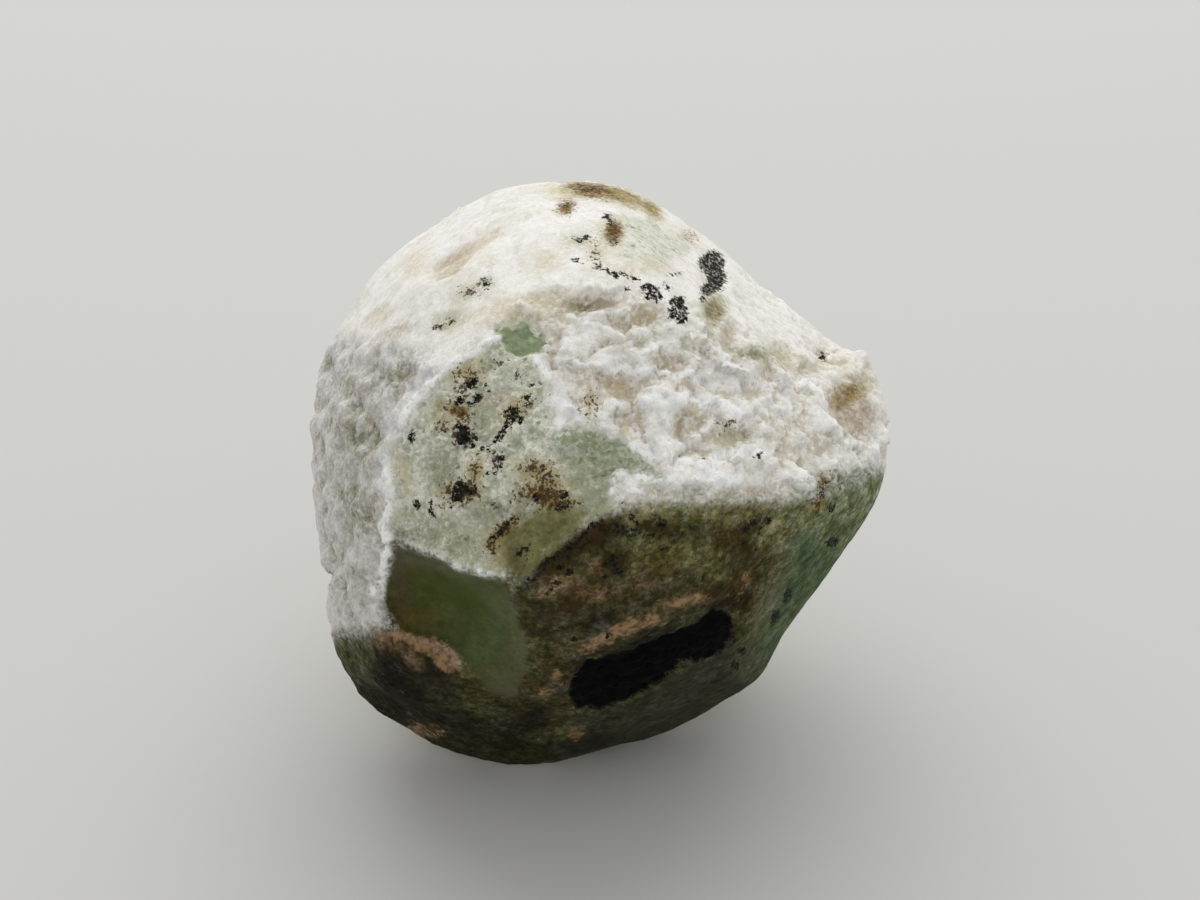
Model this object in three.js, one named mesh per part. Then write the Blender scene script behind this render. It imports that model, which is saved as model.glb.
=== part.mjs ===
// A rough datolite: one natural nodule of pale green datolite under a white, chalky, pitted skin, with a
// knob at the right, a broken glassy front face and a scooped green break below it. It is one piece.
// Millimetres, +Z up. The origin is the middle of the stone's footprint, on the surface it rests on.
import * as THREE from "three";
import { ConvexHull } from "three/addons/math/ConvexHull.js";

// How the photograph looks at the stone.
const VIEW_ELEVATION = THREE.MathUtils.degToRad(35);
const VIEW_DISTANCE = 178;
const MIDDLE = new THREE.Vector3(0, 0, 17.5);

// Driving sizes.
const LONGEST_EDGE = 1.66;
const ROUNDING_PASSES = 12;
const WEAR_PULL = 0.48;
const WEAR_LOSS = 0.1;
const CHALK_RELIEF = 0.36;
const CHALK_GRAIN = 4.1;
const BROAD_RELIEF = 0.5;
const BROAD_GRAIN = 11;

// A place read off the photograph. Across and up are measured on the upright plane through the stone's
// middle that faces the camera, and towards is how far in front of that plane the place lies.
function seen(across, up, towards) {
  const nearer = (VIEW_DISTANCE - towards) / VIEW_DISTANCE;
  const sin = Math.sin(VIEW_ELEVATION);
  const cos = Math.cos(VIEW_ELEVATION);
  return new THREE.Vector3(
    across * nearer,
    up * nearer * sin - towards * cos,
    MIDDLE.z + up * nearer * cos + towards * sin,
  );
}

// A place on the side that the photograph doesn't show, in the stone's own frame.
function hidden(x, y, z) {
  return new THREE.Vector3(x, y, z);
}

// How rough the skin is at a landmark, and how crisp the arris that runs through it.
const CHALK = { rough: 1, crisp: 0 };
const WORN = { rough: 0.45, crisp: 0 };
const GLASS = { rough: 0.06, crisp: 0 };
const ARRIS = { rough: 0.5, crisp: 0.5 };
const KNOB = { rough: 0.8, crisp: 0.6 };
const LIP = { rough: 0.1, crisp: 0.95 };

const LANDMARKS = [
  // The outline, clockwise from the crown.
  [seen(-2.6, 18.4, -2), WORN],
  [seen(0.6, 18.3, -2.5), WORN],
  [seen(3.3, 17.2, -3), WORN],
  [seen(7.3, 14.2, -3), WORN],
  [seen(10.6, 11.1, -3.5), WORN],
  [seen(14.0, 7.9, -3), KNOB],
  [seen(14.9, 7.9, -1), KNOB],
  [seen(16.5, 7.6, 0), KNOB],
  [seen(17.4, 5.0, 2), KNOB],
  [seen(18.1, 2.3, 3), CHALK],
  [seen(17.7, -0.5, 4), WORN],
  [seen(16.7, -2.9, 2.5), GLASS],
  [seen(14.8, -5.5, 1), GLASS],
  [seen(12.8, -8.2, 0), GLASS],
  [seen(11.3, -10.2, -1), GLASS],
  [seen(10.3, -12.3, -2), ARRIS],
  [seen(8.9, -13.5, -2), ARRIS],
  [seen(5.5, -14.8, -3), GLASS],
  [seen(1.1, -17.0, -4), WORN],
  [seen(-10.2, -17.5, -4), WORN],
  [seen(-12.7, -15.8, -4), WORN],
  [seen(-15.1, -14.1, -3), WORN],
  [seen(-16.6, -11.8, 0), WORN],
  [seen(-17.0, -9.2, 2), CHALK],
  [seen(-17.5, -6.8, 1.5), CHALK],
  [seen(-17.6, -4.0, 1), CHALK],
  [seen(-18.0, -0.9, 0), CHALK],
  [seen(-17.9, 3.5, -1), CHALK],
  [seen(-17.6, 6.9, -2), CHALK],
  [seen(-16.6, 9.7, -3), WORN],
  [seen(-14.7, 12.6, -4), WORN],
  [seen(-12.1, 15.0, -4), WORN],
  [seen(-8.9, 16.9, -4), WORN],
  [seen(-6.1, 18.1, -3), WORN],

  // The dome, from its top to the brow over the shelf.
  [seen(-4.5, 17.0, 4), WORN],
  [seen(1.1, 16.6, 4), WORN],
  [seen(-3.9, 15.2, 9), WORN],
  [seen(2.4, 14.5, 9.8), WORN],
  [seen(-8.3, 13.0, 10), WORN],
  [seen(-11.4, 11.7, 8.6), WORN],
  [seen(5.5, 11.7, 9.5), WORN],
  [seen(8.4, 9.2, 8.8), WORN],
  [seen(11.8, 6.4, 7.8), CHALK],
  [seen(-6.1, 10.8, 13.3), CHALK],
  [seen(-2.0, 11.7, 13.6), CHALK],
  [seen(3.0, 10.1, 13.8), CHALK],
  [seen(7.4, 7.9, 11.8), CHALK],

  // The rough shelf, down to the arris across the front.
  [seen(-0.1, 4.8, 16.5), CHALK],
  [seen(5.5, 4.2, 15.3), CHALK],
  [seen(11.2, 3.5, 12.2), CHALK],
  [seen(14.3, 2.9, 9.5), CHALK],
  [seen(1.5, -1.6, 18.6), ARRIS],
  [seen(4.9, -1.5, 17.8), ARRIS],
  [seen(8.1, -1.4, 16.3), ARRIS],
  [seen(11.5, -1.2, 14.0), ARRIS],
  [seen(14.3, -0.9, 11.0), ARRIS],
  [seen(16.6, -0.8, 7.2), ARRIS],
  [seen(15.6, 4.8, 6), CHALK],
  [seen(15.3, 2.0, 8.5), CHALK],

  // The glassy front face, and the crest on its left.
  [seen(-6.4, 8.9, 14.5), ARRIS],
  [seen(-9.9, 6.5, 14), ARRIS],
  [seen(-12.1, 3.8, 13.2), ARRIS],
  [seen(-13.1, 1.0, 13), ARRIS],
  [seen(-13.5, -2.1, 12.9), ARRIS],
  [seen(-8.3, 2.3, 16), GLASS],
  [seen(-3.3, 2.9, 17), GLASS],
  [seen(-8.9, -2.1, 16), GLASS],
  [seen(-3.9, -2.1, 17.6), GLASS],
  [seen(-0.8, -0.9, 18.2), GLASS],
  [seen(-2.0, -5.0, 17.8), ARRIS],
  [seen(-0.1, -3.7, 18.2), ARRIS],

  // The sharp lip over the scooped break, left to right.
  [seen(-13.5, -4.6, 12.4), LIP],
  [seen(-11.9, -4.8, 14), LIP],
  [seen(-9.9, -5.5, 15.3), LIP],
  [seen(-7.5, -6.5, 16.4), LIP],
  [seen(-5.2, -7.4, 17), LIP],

  // The pitted left side.
  [seen(-13.6, 9.2, 9), CHALK],
  [seen(-15.5, 6.4, 7.5), CHALK],
  [seen(-16.2, 2.6, 8), CHALK],
  [seen(-16.2, -1.5, 8.5), CHALK],
  [seen(-15.7, -5.3, 8.5), CHALK],
  [seen(-15.1, -8.7, 7.5), CHALK],

  // The scooped green break.
  [seen(-12.6, -6.4, 10.6), GLASS],
  [seen(-9.6, -7.3, 12.8), GLASS],
  [seen(-6.4, -8.3, 14.2), GLASS],
  [seen(-10.2, -9.1, 10.3), GLASS],
  [seen(-6.1, -10.9, 12), GLASS],
  [seen(-13.5, -9.1, 8.5), WORN],
  [seen(-8.6, -12.5, 8.6), GLASS],
  [seen(-6.4, -15.0, 5), GLASS],

  // The bulge at the lower left.
  [seen(-12.7, -10.9, 8.8), WORN],
  [seen(-14.3, -12.8, 5), WORN],
  [seen(-11.4, -14.1, 5.5), WORN],
  [seen(-9.6, -16.3, 1.5), WORN],

  // The stained face under the arris, and the crease on its right.
  [seen(-2.6, -7.8, 16.2), WORN],
  [seen(2.4, -5.3, 16.9), WORN],
  [seen(8.1, -4.6, 14.6), WORN],
  [seen(1.1, -10.3, 12.8), WORN],
  [seen(6.2, -7.8, 13.4), WORN],
  [seen(-2.6, -13.5, 8.8), WORN],
  [seen(2.4, -13.5, 7.5), WORN],
  [seen(8.4, -10.3, 8.8), WORN],
  [seen(13.0, -3.1, 11), ARRIS],
  [seen(11.5, -6.2, 9), ARRIS],
  [seen(9.8, -9.2, 7), ARRIS],
  [seen(8.6, -12.1, 3.5), ARRIS],
  [seen(-0.1, -16.3, 1.5), WORN],
  [seen(4.3, -14.4, 2.5), GLASS],
  [seen(-3.9, -17.2, 1), WORN],

  // The back, which is guessed: a worn, gently faceted continuation of the dome.
  [hidden(0.5, 15.4, 28), WORN],
  [hidden(7.5, 12, 26.5), WORN],
  [hidden(-8, 13.5, 26.5), WORN],
  [hidden(1, 17.4, 22.5), CHALK],
  [hidden(-9.5, 14.6, 20.5), CHALK],
  [hidden(9.8, 12.9, 20), CHALK],
  [hidden(0.5, 17.5, 15), CHALK],
  [hidden(-12, 12.5, 13), CHALK],
  [hidden(11.6, 10.4, 13), WORN],
  [hidden(-1, 15, 7.5), WORN],
  [hidden(-10, 10.4, 6), WORN],
  [hidden(8.6, 9.6, 6), WORN],
  [hidden(-16.5, 6, 17), CHALK],
  [hidden(-14.5, 4, 7.5), WORN],
  [hidden(15.5, 4.5, 17), WORN],
  [hidden(13, 3, 8), GLASS],

  // The underside, rounding in to the small flat spot it rests on.
  [seen(-5.5, -18.4, -2.2), GLASS],
  [seen(-1.8, -17.9, -2.8), GLASS],
  [hidden(-9.5, -5.5, 1.5), GLASS],
  [hidden(-11, 1, 2), GLASS],
  [hidden(-8.5, 7, 2.2), GLASS],
  [hidden(-1, 10.5, 2.4), GLASS],
  [hidden(7, 7, 2.4), GLASS],
  [hidden(8.8, 1, 2.2), GLASS],
  [hidden(5.5, -5, 1.3), GLASS],
  [hidden(-5.5, -5, -0.4), GLASS],
  [hidden(-7.2, 0.5, -0.4), GLASS],
  [hidden(-4.5, 5.2, -0.4), GLASS],
  [hidden(1, 5.6, -0.4), GLASS],
  [hidden(4.6, 1.5, -0.4), GLASS],
  [hidden(2.6, -4.2, -0.4), GLASS],
  [hidden(-1, 0, -0.4), GLASS],
];

// Hollows and lumps big enough to see from a step away: place, radius and depth. A lump's depth is negative.
const HOLLOWS = [
  // Pits and ledges along the top of the shelf.
  [seen(-0.4, 10.2, 14.5), 2.6, 0.7],
  [seen(3.6, 8.4, 14.5), 2.2, 0.6],
  [seen(7.2, 6.0, 13.5), 2.4, 0.7],
  [seen(2.4, 6.2, 16), 2.0, 0.4],
  [seen(5.6, 2.6, 16), 2.0, 0.5],
  [seen(10.4, 5.6, 11.5), 2.2, 0.5],
  [seen(8.9, 2.2, 14.4), 1.8, 0.4],
  [seen(12.6, 4.4, 10), 1.8, 0.5],
  // The green eye, and the bare glassy patch under it.
  [seen(-5.1, 8.6, 15), 1.7, 0.9],
  [seen(-0.3, 0.9, 18.2), 2.6, 0.55],
  // The pocket in the knob, and the dip before it.
  [seen(15.6, 4.6, 6.5), 2.2, 0.8],
  [seen(13.4, 7.6, 1.5), 2.2, 0.6],
  // Dimples on the dome and the left side.
  [seen(-10.5, 13.4, 5), 2.2, 0.45],
  [seen(-12.6, 10.2, 8.5), 1.8, 0.35],
  [seen(-16.4, 0.6, 8), 1.9, 0.55],
  [seen(-16.2, -3.4, 8.5), 1.7, 0.5],
  [seen(-17.2, -7.0, 2.5), 1.5, 0.9],
  // The scoop of the green break, and the long hollow that holds the dark mineral.
  [seen(-9.6, -9.0, 11.5), 4.2, 0.8],
  [seen(0.6, -12.4, 11), 2.6, 0.6],
  [seen(3.4, -11.2, 11.5), 2.4, 0.6],
  [seen(6.6, -9.9, 11.5), 2.3, 0.6],
  // Pits, a ledge and a low swelling on the back.
  [hidden(-9, 14, 24), 3.0, 0.7],
  [hidden(5, 16.5, 19), 3.4, -0.6],
  [hidden(-3, 17, 14.5), 2.6, 0.7],
  [hidden(9.5, 11.5, 24), 2.4, 0.6],
  [hidden(-14.5, 9, 18), 2.6, 0.6],
  [hidden(12, 10, 14), 2.6, 0.6],
  [hidden(-9, 11, 8), 2.8, -0.5],
  // The low stained swelling at the top of the bulge.
  [seen(-11.4, -11.4, 9), 2.4, -0.7],
];

// Repeatable smooth noise between -1 and 1.
function hash(x, y, z) {
  let h = Math.imul(x, 374761393) ^ Math.imul(y, 668265263) ^ Math.imul(z, 2147483647);
  h = Math.imul(h ^ (h >>> 13), 1274126177);
  return ((h ^ (h >>> 16)) >>> 0) / 2 ** 31 - 1;
}

function noise(point, grain) {
  const cell = point.clone().divideScalar(grain);
  const low = cell.clone().floor();
  const part = cell.sub(low);
  const ease = (t) => t * t * (3 - 2 * t);
  let sum = 0;
  for (const dx of [0, 1])
    for (const dy of [0, 1])
      for (const dz of [0, 1]) {
        const share =
          (dx ? ease(part.x) : 1 - ease(part.x)) *
          (dy ? ease(part.y) : 1 - ease(part.y)) *
          (dz ? ease(part.z) : 1 - ease(part.z));
        sum += share * hash(low.x + dx, low.y + dy, low.z + dz);
      }
  return sum;
}

// The landmarks joined into a closed skin of large flat facets. Seen from the middle, every landmark lies
// in its own direction, so the facets are those of the hull of the directions.
function facetedSkin() {
  const points = LANDMARKS.map(([place, skin]) => ({ place, ...skin }));
  const directions = points.map(({ place }) => place.clone().sub(MIDDLE).normalize());
  const numberOf = new Map(directions.map((direction, i) => [direction, i]));
  const faces = new ConvexHull().setFromPoints(directions).faces.map((face) => {
    const first = face.edge;
    return [first, first.next, first.next.next].map((edge) => numberOf.get(edge.head().point));
  });
  return { points, faces };
}

function halfway(a, b) {
  return {
    place: a.place.clone().add(b.place).multiplyScalar(0.5),
    rough: (a.rough + b.rough) / 2,
    crisp: Math.min(a.crisp, b.crisp),
  };
}

// Splits every long edge in the middle, the longest edge of both its facets first, so facets stay stout.
function splitLongEdges({ points, faces }) {
  const length = (a, b) => points[a].place.distanceTo(points[b].place);
  const name = (a, b) => (a < b ? a + "_" + b : b + "_" + a);
  for (;;) {
    const votes = new Map();
    const longest = faces.map(([p, q, r]) => {
      const sides = [[p, q, r], [q, r, p], [r, p, q]];
      const order = (s, t) =>
        length(t[0], t[1]) - length(s[0], s[1]) || name(s[0], s[1]).localeCompare(name(t[0], t[1]));
      const [a, b, c] = sides.sort(order)[0];
      if (length(a, b) > LONGEST_EDGE) votes.set(name(a, b), (votes.get(name(a, b)) ?? 0) + 1);
      return [a, b, c];
    });
    const middles = new Map();
    const made = [];
    for (const [a, b, c] of longest) {
      const side = name(a, b);
      if (votes.get(side) !== 2) {
        made.push([a, b, c]);
        continue;
      }
      if (!middles.has(side)) middles.set(side, points.push(halfway(points[a], points[b])) - 1);
      const m = middles.get(side);
      made.push([a, m, c], [m, b, c]);
    }
    faces = made;
    if (!middles.size) return { points, faces };
  }
}

function neighboursOf({ points, faces }) {
  const around = points.map(() => new Set());
  for (const [a, b, c] of faces) {
    around[a].add(b).add(c);
    around[b].add(a).add(c);
    around[c].add(a).add(b);
  }
  return around.map((set) => [...set]);
}

// Rounds the facets' edges as wear does, each pull in followed by a push out, so the stone doesn't shrink.
// An arris keeps more of its place than open skin.
function wearEdges(skin) {
  const around = neighboursOf(skin);
  for (let pass = 0; pass < 2 * ROUNDING_PASSES; pass++) {
    const pull = pass % 2 ? -WEAR_PULL : WEAR_PULL;
    const moved = skin.points.map(({ place, crisp }, i) => {
      const mean = new THREE.Vector3();
      for (const n of around[i]) mean.add(skin.points[n].place);
      mean.divideScalar(around[i].length);
      return place.clone().lerp(mean, pull * (1 - crisp));
    });
    moved.forEach((place, i) => (skin.points[i].place = place));
  }
}

function relief(place, rough) {
  const broad = BROAD_RELIEF * noise(place, BROAD_GRAIN);
  let height = WEAR_LOSS + (0.4 + 0.6 * rough) * broad + CHALK_RELIEF * rough * noise(place, CHALK_GRAIN);
  for (const [centre, radius, depth] of HOLLOWS) {
    const near = 1 - place.distanceToSquared(centre) / radius ** 2;
    if (near > 0) height -= depth * near ** 2;
  }
  return height;
}

function stoneGeometry() {
  const skin = splitLongEdges(facetedSkin());
  wearEdges(skin);
  for (const point of skin.points) {
    const outward = point.place.clone().sub(MIDDLE).normalize();
    point.place.addScaledVector(outward, relief(point.place, point.rough));
    point.place.z = Math.max(point.place.z, 0);
  }
  const geometry = new THREE.BufferGeometry().setFromPoints(skin.points.map(({ place }) => place));
  geometry.setIndex(skin.faces.flat());
  geometry.computeVertexNormals();
  return geometry;
}

const datoliteMaterial = new THREE.MeshStandardMaterial({
  name: "datolite",
  color: 0xdfe0d8,
  roughness: 0.7,
  metalness: 0,
});

const stone = new THREE.Mesh(stoneGeometry(), datoliteMaterial);
stone.name = "datolite_nodule";

// Its footprint's middle goes to the origin, and its flat spot to the surface.
stone.geometry.computeBoundingBox();
const { min, max } = stone.geometry.boundingBox;
stone.position.set(-(min.x + max.x) / 2, -(min.y + max.y) / 2, -min.z);

const part = new THREE.Group();
part.add(stone);
export default part;
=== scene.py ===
import math

import bmesh
import bpy
import numpy as np
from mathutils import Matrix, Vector, noise


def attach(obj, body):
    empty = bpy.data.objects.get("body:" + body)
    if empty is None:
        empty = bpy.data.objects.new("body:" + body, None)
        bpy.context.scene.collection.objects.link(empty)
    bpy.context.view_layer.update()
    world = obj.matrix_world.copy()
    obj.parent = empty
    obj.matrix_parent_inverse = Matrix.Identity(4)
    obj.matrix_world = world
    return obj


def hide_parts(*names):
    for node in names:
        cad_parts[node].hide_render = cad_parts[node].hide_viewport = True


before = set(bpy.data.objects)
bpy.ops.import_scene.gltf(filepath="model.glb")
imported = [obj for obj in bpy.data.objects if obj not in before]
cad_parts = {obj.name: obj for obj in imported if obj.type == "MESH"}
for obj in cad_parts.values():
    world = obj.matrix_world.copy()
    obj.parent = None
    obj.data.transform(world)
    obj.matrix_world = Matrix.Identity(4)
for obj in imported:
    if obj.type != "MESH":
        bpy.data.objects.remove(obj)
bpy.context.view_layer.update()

# The camera stands where the photograph was taken: 178 mm from the stone, looking down at it by 35 degrees
# through a short telephoto lens. The shift puts the stone's middle on its pixel in the 1200 by 900 frame.
MM = 0.001
PHOTO_WIDTH = 1200
PHOTO_HEIGHT = 900
STONE_MIDDLE = Vector((0.30, 0.16, 17.5)) * MM
STONE_MIDDLE_PIXEL = (602, 476)
VIEW_ELEVATION = math.radians(35)
VIEW_DISTANCE = 178 * MM
LENS_MM = 85
SENSOR_MM = 36
NEAREST_SEEN = 10 * MM

view_right = Vector((1, 0, 0))
view_up = Vector((0, math.sin(VIEW_ELEVATION), math.cos(VIEW_ELEVATION)))
view_back = Vector((0, -math.cos(VIEW_ELEVATION), math.sin(VIEW_ELEVATION)))

camera_data = bpy.data.cameras.new("camera")
camera_data.lens = LENS_MM
camera_data.sensor_width = SENSOR_MM
camera_data.clip_start = NEAREST_SEEN
camera_data.shift_x = (PHOTO_WIDTH / 2 - STONE_MIDDLE_PIXEL[0]) / PHOTO_WIDTH
camera_data.shift_y = (STONE_MIDDLE_PIXEL[1] - PHOTO_HEIGHT / 2) / PHOTO_WIDTH
camera = bpy.data.objects.new("camera", camera_data)
camera.location = STONE_MIDDLE + view_back * VIEW_DISTANCE
camera.rotation_euler = (math.pi / 2 - VIEW_ELEVATION, 0, 0)
add_to_scene = bpy.context.scene.collection.objects.link
add_to_scene(camera)
bpy.context.scene.camera = camera


# The stone is one natural nodule, broken out of its rock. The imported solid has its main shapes. This is the
# same shape on a fine even grid, fine enough for the skin's pits and ledges and for the sharp broken lip.
GRID_SIZE = 0.25 * MM
WELD_DISTANCE = 0.001 * MM
GRID_SMOOTHING = 4


def fine_surface(source):
    """A copy of a solid's mesh on a fine even grid, with its facets smoothed away."""
    mesh = source.data.copy()
    welded = bmesh.new()
    welded.from_mesh(mesh)
    bmesh.ops.remove_doubles(welded, verts=welded.verts, dist=WELD_DISTANCE)
    welded.to_mesh(mesh)
    welded.free()
    coarse = bpy.data.objects.new("coarse_stone", mesh)
    add_to_scene(coarse)
    rounded = coarse.modifiers.new("rounded", "SUBSURF")
    rounded.levels = 1
    grid = coarse.modifiers.new("grid", "REMESH")
    grid.mode = "VOXEL"
    grid.voxel_size = GRID_SIZE
    evened = coarse.modifiers.new("evened", "SMOOTH")
    evened.iterations = GRID_SMOOTHING
    evaluated = coarse.evaluated_get(bpy.context.evaluated_depsgraph_get())
    fine = bpy.data.meshes.new_from_object(evaluated)
    bpy.data.objects.remove(coarse)
    fine.materials.clear()
    return fine


stone_mesh = fine_surface(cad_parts["datolite_nodule"])
count = len(stone_mesh.vertices)
place = np.zeros(count * 3)
stone_mesh.vertices.foreach_get("co", place)
place = place.reshape(-1, 3) / MM
outward = np.zeros(count * 3)
stone_mesh.vertex_normals.foreach_get("vector", outward)
outward = outward.reshape(-1, 3)

# Where each point of the surface shows in the photograph, and how squarely it faces the camera.
PIXELS_PER_MM = PHOTO_WIDTH * LENS_MM / SENSOR_MM / (VIEW_DISTANCE / MM)
from_middle = place - np.array(STONE_MIDDLE) / MM
nearness = 1 - from_middle @ np.array(view_back) / (VIEW_DISTANCE / MM)
pixel_x = STONE_MIDDLE_PIXEL[0] + PIXELS_PER_MM * (from_middle @ np.array(view_right)) / nearness
pixel_y = STONE_MIDDLE_PIXEL[1] - PIXELS_PER_MM * (from_middle @ np.array(view_up)) / nearness
sight = np.array(camera.location) / MM - place
facing = (sight * outward).sum(1) / np.linalg.norm(sight, axis=1)


def ease(value, low, high):
    """0 at low, 1 at high, and a smooth passage between them."""
    share = np.clip((value - low) / (high - low), 0, 1)
    return share * share * (3 - 2 * share)


LIMB_SLOPE = 8


def seen(depth, reach=0.0):
    """Keeps a depth inside an outline to the side that the camera sees, or a little way round its limb."""
    return np.minimum(depth, (facing + reach) * LIMB_SLOPE)


def from_line(line, closed=False):
    """How far each point of the surface is from a line drawn on the photograph, in mm."""
    nearest = np.full(count, np.inf)
    ends = line[1:] + line[:1] if closed else line[1:]
    for (from_x, from_y), (to_x, to_y) in zip(line, ends):
        run_x = to_x - from_x
        run_y = to_y - from_y
        along = ((pixel_x - from_x) * run_x + (pixel_y - from_y) * run_y) / (run_x**2 + run_y**2)
        along = np.clip(along, 0, 1)
        gap = np.hypot(pixel_x - from_x - along * run_x, pixel_y - from_y - along * run_y)
        nearest = np.minimum(nearest, gap)
    return nearest / PIXELS_PER_MM


def inside(outline, reach=0.0):
    """How far each point lies inside an outline drawn on the photograph, in mm."""
    within = np.zeros(count, bool)
    for (from_x, from_y), (to_x, to_y) in zip(outline, outline[1:] + outline[:1]):
        if from_y != to_y:
            spans = (from_y > pixel_y) != (to_y > pixel_y)
            crossing = from_x + (pixel_y - from_y) / (to_y - from_y) * (to_x - from_x)
            within ^= spans & (pixel_x < crossing)
    gap = from_line(outline, closed=True)
    return seen(np.where(within, gap, -gap), reach)


def from_spot(x, y, half_length, half_width, tilt=0.0):
    """Distance from the middle of a long spot on the photograph, tilted up to the right: 1 at its edge."""
    turn = math.radians(tilt)
    across = (pixel_x - x) * math.cos(turn) - (pixel_y - y) * math.sin(turn)
    up = -(pixel_x - x) * math.sin(turn) - (pixel_y - y) * math.cos(turn)
    return np.hypot(across / half_length, up / half_width)


def spot(x, y, half_length, half_width, tilt=0.0, reach=0.0):
    """How far each point lies inside a spot, in mm."""
    size = min(half_length, half_width) / PIXELS_PER_MM
    return seen((1 - from_spot(x, y, half_length, half_width, tilt)) * size, reach)


def deepest(spots, reach=0.0):
    """How far each point lies inside any of several spots, in mm."""
    return np.maximum.reduce([spot(*row, reach=reach) for row in spots])


def soft(depth, edge=0.6):
    """A share from 0 outside an outline to 1 inside it, with an edge that wide."""
    return ease(depth, -edge, edge)


OCTAVE_FADE = 1.0
OCTAVE_STEP = 2.0


def grain(size, stretch=(1, 1, 1), drift=0.0, octaves=1):
    """Smooth noise from about -1 to 1, of that size in mm, drawn out along the stretched axes."""
    scaled = place / (size * np.array(stretch)) + drift
    if octaves == 1:
        return np.array([noise.noise(Vector(point)) for point in scaled])
    layered = [noise.fractal(Vector(point), OCTAVE_FADE, OCTAVE_STEP, octaves) for point in scaled]
    return np.array(layered)


# Broken grains have no straight borders, so they are bent by smooth noise. Its set seed keeps them the same.
BEND_SIZE = 1.7
BEND = 0.5
BEND_SEED = 5
noise.seed_set(BEND_SEED)
bent_place = place + BEND * np.array([noise.noise_vector(Vector(point)) for point in place / BEND_SIZE])


def nearest_seeds(size, drift=0.0):
    """The nearest of many scattered seeds about that far apart, and the way from it to each point."""
    scaled = bent_place / size + drift
    seeds = np.array([noise.voronoi(Vector(point))[1][0] for point in scaled])
    return seeds, scaled - seeds


# These turn a seed's place into a lean that looks random.
SEED_SHUFFLE = np.array([[12.99, 78.23, 37.72], [39.35, 11.14, 83.16], [73.16, 52.24, 9.15]])
SEED_SPREAD = 437.58


def crumbs(size, drift=0.0):
    """The broken faces of crystal grains about that size: each flat, and tilted its own way."""
    seeds, away = nearest_seeds(size, drift)
    shuffled = np.sin(seeds @ SEED_SHUFFLE) * SEED_SPREAD
    lean = 2 * (shuffled - np.floor(shuffled)) - 1
    return (away * lean).sum(1) * size


PIT_FLOOR = 0.06
PIT_EDGE = 0.42


def pits(size, drift=0.0):
    """Round pits, one near each seed: 1 at the bottom and 0 outside."""
    away = nearest_seeds(size, drift)[1]
    return 1 - ease(np.linalg.norm(away, axis=1), PIT_FLOOR, PIT_EDGE)


# How deep each point lies in the outlines that the photograph shows, each by pixel and clockwise.
front_face = inside([
    (484, 342), (505, 336), (540, 352), (549, 390), (553, 424), (600, 431), (642, 448), (664, 478),
    (644, 490), (622, 470), (612, 512), (574, 540), (546, 562), (524, 582), (504, 582), (480, 576),
    (440, 562), (412, 552), (390, 546), (388, 500), (394, 455), (408, 415), (444, 373),
])
eye = inside([
    (499, 330), (507, 327), (514, 332), (520, 319), (528, 324), (531, 333), (545, 341), (541, 350),
    (524, 358), (514, 353), (506, 351), (502, 342),
])
bare_patch = inside([
    (549, 440), (566, 436), (600, 432), (642, 450), (664, 478), (644, 490), (622, 472), (610, 506),
    (590, 518), (578, 500), (570, 476), (556, 460),
])
window = inside([
    (393, 541), (415, 547), (430, 554), (448, 560), (458, 567), (478, 573), (506, 579), (514, 606),
    (528, 640), (528, 668), (516, 700), (488, 692), (468, 668), (452, 650), (440, 642), (420, 638),
    (400, 630), (384, 600), (388, 570),
])
bulge = inside([
    (334, 640), (365, 634), (392, 626), (432, 636), (464, 664), (500, 664), (540, 700), (580, 790),
    (380, 800), (300, 700),
], reach=0.2)
stained_face = inside([
    (508, 590), (524, 582), (546, 562), (574, 540), (612, 512), (640, 506), (700, 504), (760, 502),
    (812, 500), (796, 545), (768, 600), (752, 645), (740, 672), (690, 712), (620, 746), (540, 760),
    (500, 700), (516, 650),
])
right_band = inside([
    (808, 504), (840, 486), (864, 478), (930, 470), (930, 600), (760, 740), (738, 690), (746, 640),
    (766, 600), (790, 545),
], reach=0.3)
lower_band = inside([
    (560, 716), (600, 712), (626, 703), (652, 690), (674, 674), (690, 662), (734, 640), (750, 690),
    (700, 800), (560, 800),
], reach=0.3)
black_patch = inside([
    (736, 626), (728, 612), (712, 610), (694, 624), (672, 634), (640, 646), (612, 656), (588, 660),
    (570, 682), (568, 704), (598, 712), (626, 703), (652, 690), (674, 674), (682, 662), (704, 662),
    (722, 654), (736, 640),
])
shelf = inside([
    (505, 305), (570, 282), (650, 300), (720, 335), (800, 352), (870, 350), (900, 440), (866, 488),
    (785, 496), (700, 500), (636, 500), (560, 420), (545, 350),
])
left_side = inside([
    (300, 330), (390, 345), (440, 372), (405, 415), (388, 470), (386, 548), (388, 620), (330, 645),
    (290, 500),
], reach=0.2)
dome = inside([
    (300, 330), (330, 150), (700, 150), (750, 290), (700, 300), (640, 285), (560, 280), (500, 300),
    (440, 370), (380, 345),
], reach=0.1)
crown_glaze = inside([(596, 206), (650, 212), (700, 238), (694, 262), (650, 276), (606, 262), (622, 236)])
knob_pocket = inside([(828, 376), (852, 368), (874, 384), (884, 420), (872, 436), (838, 428), (822, 404)])
WINDOW_EDGE = (-0.08, 0.2)
window_share = ease(window, *WINDOW_EDGE)

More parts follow.
